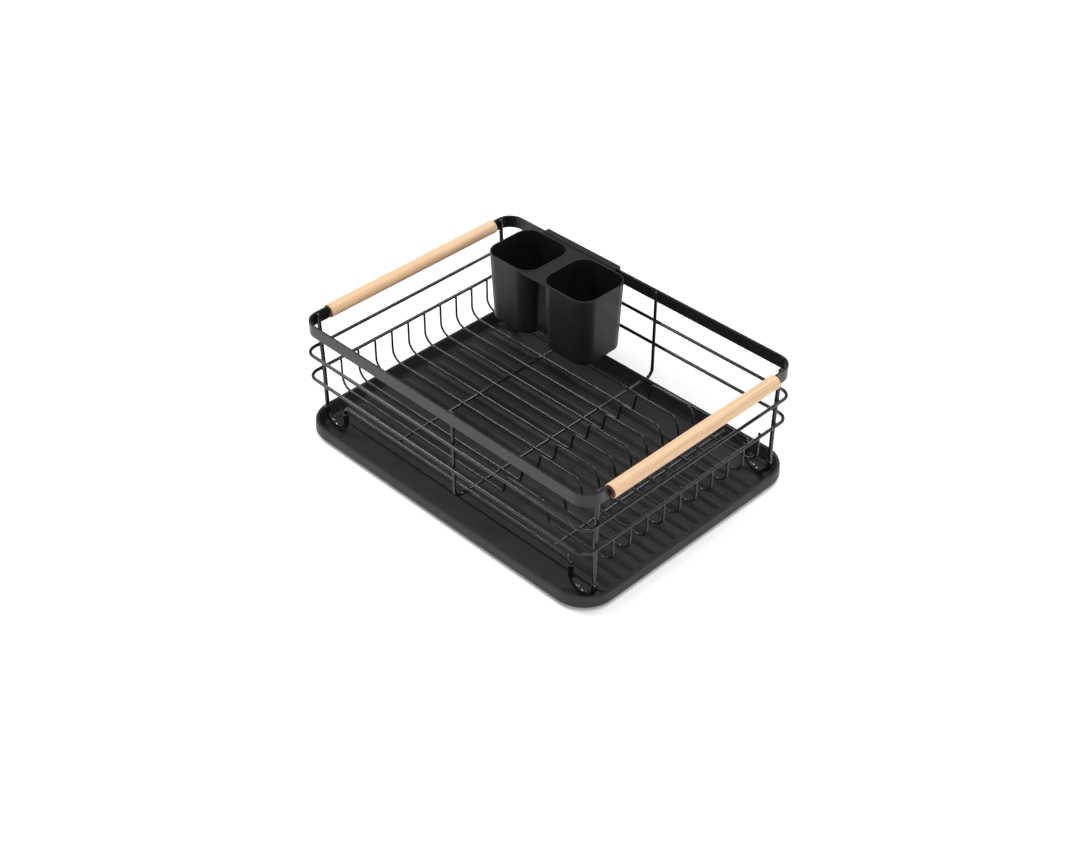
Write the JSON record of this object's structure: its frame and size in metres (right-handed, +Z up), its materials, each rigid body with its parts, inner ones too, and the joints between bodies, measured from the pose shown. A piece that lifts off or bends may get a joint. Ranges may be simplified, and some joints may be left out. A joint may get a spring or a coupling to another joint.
{
  "type": "dish drying rack",
  "caption": "Wire dish drying rack with wooden grips, standing in a ribbed drip tray, with a twin-cup cutlery caddy hooked on its rim.",
  "frame": {"origin": "on the table, under the middle of the drip tray", "axes": "+X to the right along the long side, +Y to the back where the caddy hangs, +Z up"},
  "size_m": [0.4416, 0.33, 0.1526],
  "materials": {
    "black_coated_steel": "satin black powder coat",
    "tray_plastic": "satin black polypropylene, finely grained",
    "caddy_plastic": "matte black polypropylene",
    "sleeve_rubber": "glossy black soft vinyl",
    "grip_wood": "lightly lacquered beech"
  },
  "bodies": {
    "tray": {"drip_tray": "tray_plastic"},
    "basket": {"rim_strip_front": "black_coated_steel", "rim_strip_back": "black_coated_steel", "handle_rod_left": "black_coated_steel", "handle_rod_right": "black_coated_steel", "upper_rail": "black_coated_steel", "lower_rail": "black_coated_steel", "leg_frame_front": "black_coated_steel", "leg_frame_back": "black_coated_steel", "foot_sleeve_front_left": "sleeve_rubber", "foot_sleeve_front_right": "sleeve_rubber", "foot_sleeve_back_left": "sleeve_rubber", "foot_sleeve_back_right": "sleeve_rubber", "cross_wire_left": "black_coated_steel", "middle_hoop": "black_coated_steel", "cross_wire_right": "black_coated_steel", "plate_wire_01": "black_coated_steel", "plate_wire_02": "black_coated_steel", "plate_wire_03": "black_coated_steel", "plate_wire_04": "black_coated_steel", "plate_wire_05": "black_coated_steel", "plate_wire_06": "black_coated_steel", "plate_wire_07": "black_coated_steel", "plate_wire_08": "black_coated_steel", "plate_wire_09": "black_coated_steel", "plate_wire_10": "black_coated_steel"},
    "left_grip": {"wooden_grip_left": "grip_wood"},
    "right_grip": {"wooden_grip_right": "grip_wood"},
    "caddy": {"cutlery_caddy": "caddy_plastic"}
  },
  "joints": [
    {"name": "basket_lift", "type": "slide", "parent": "tray", "child": "basket", "axis": [0, 0, 1], "range_m": [0, 0.06]},
    {"name": "caddy_lift", "type": "slide", "parent": "basket", "child": "caddy", "axis": [0, 0, 1], "range_m": [0, 0.1]},
    {"name": "left_grip_spin", "type": "hinge", "parent": "basket", "child": "left_grip", "pos_m": [-0.21285, 0, 0.1425], "axis": [0, 1, 0], "continuous": true},
    {"name": "right_grip_spin", "type": "hinge", "parent": "basket", "child": "right_grip", "pos_m": [0.21285, 0, 0.1425], "axis": [0, 1, 0], "continuous": true}
  ]
}
